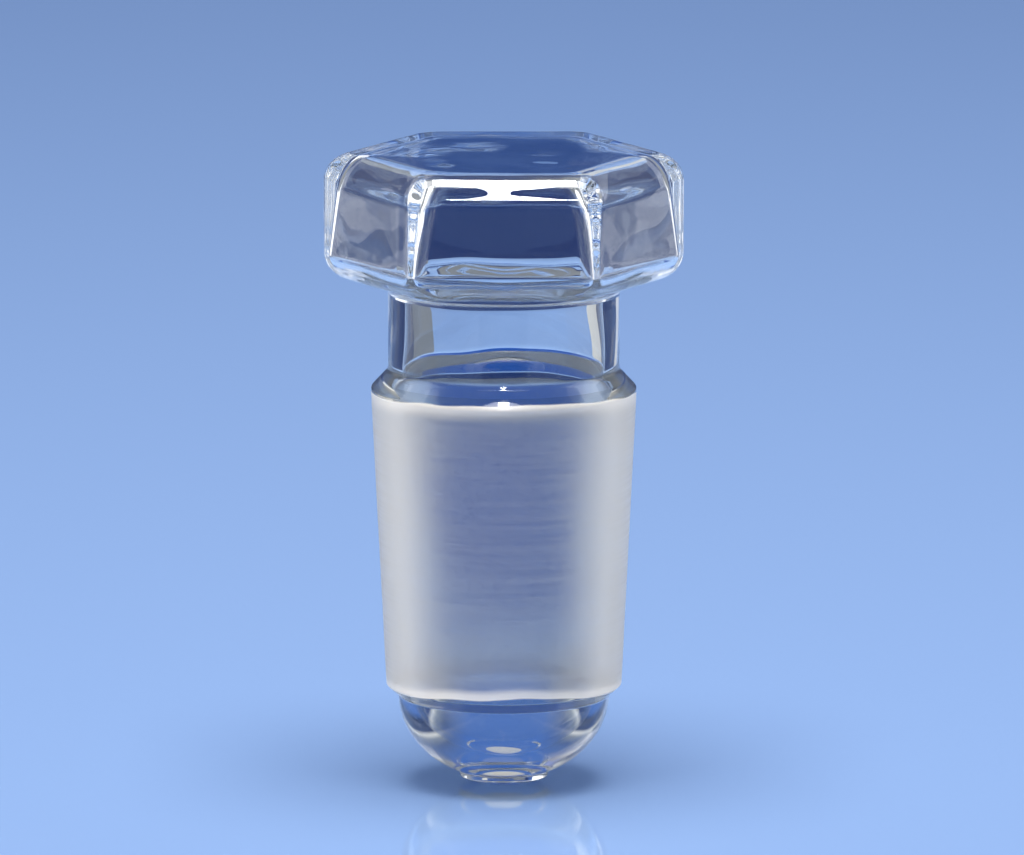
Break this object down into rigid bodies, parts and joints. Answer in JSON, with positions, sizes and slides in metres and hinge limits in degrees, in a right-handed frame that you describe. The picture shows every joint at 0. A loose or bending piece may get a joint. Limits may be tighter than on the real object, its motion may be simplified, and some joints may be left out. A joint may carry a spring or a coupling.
{
  "type": "glass stopper",
  "caption": "Hollow glass stopper with a hexagonal head, a short neck, a ground cone that seals a flask neck, and a closed round end.",
  "frame": {"origin": "centre of the flat under the sealed tip, which is the lowest point", "axes": "+Z along the stopper's axis from the tip to the head, X through two opposite corners of the hexagon, Y through two opposite flats"},
  "size_m": [0.0396, 0.035, 0.0702],
  "materials": {
    "glass": "clear blown borosilicate glass, satin ground on the cone and its chamfer"
  },
  "bodies": {
    "root": {"stopper": "glass"}
  },
  "joints": []
}
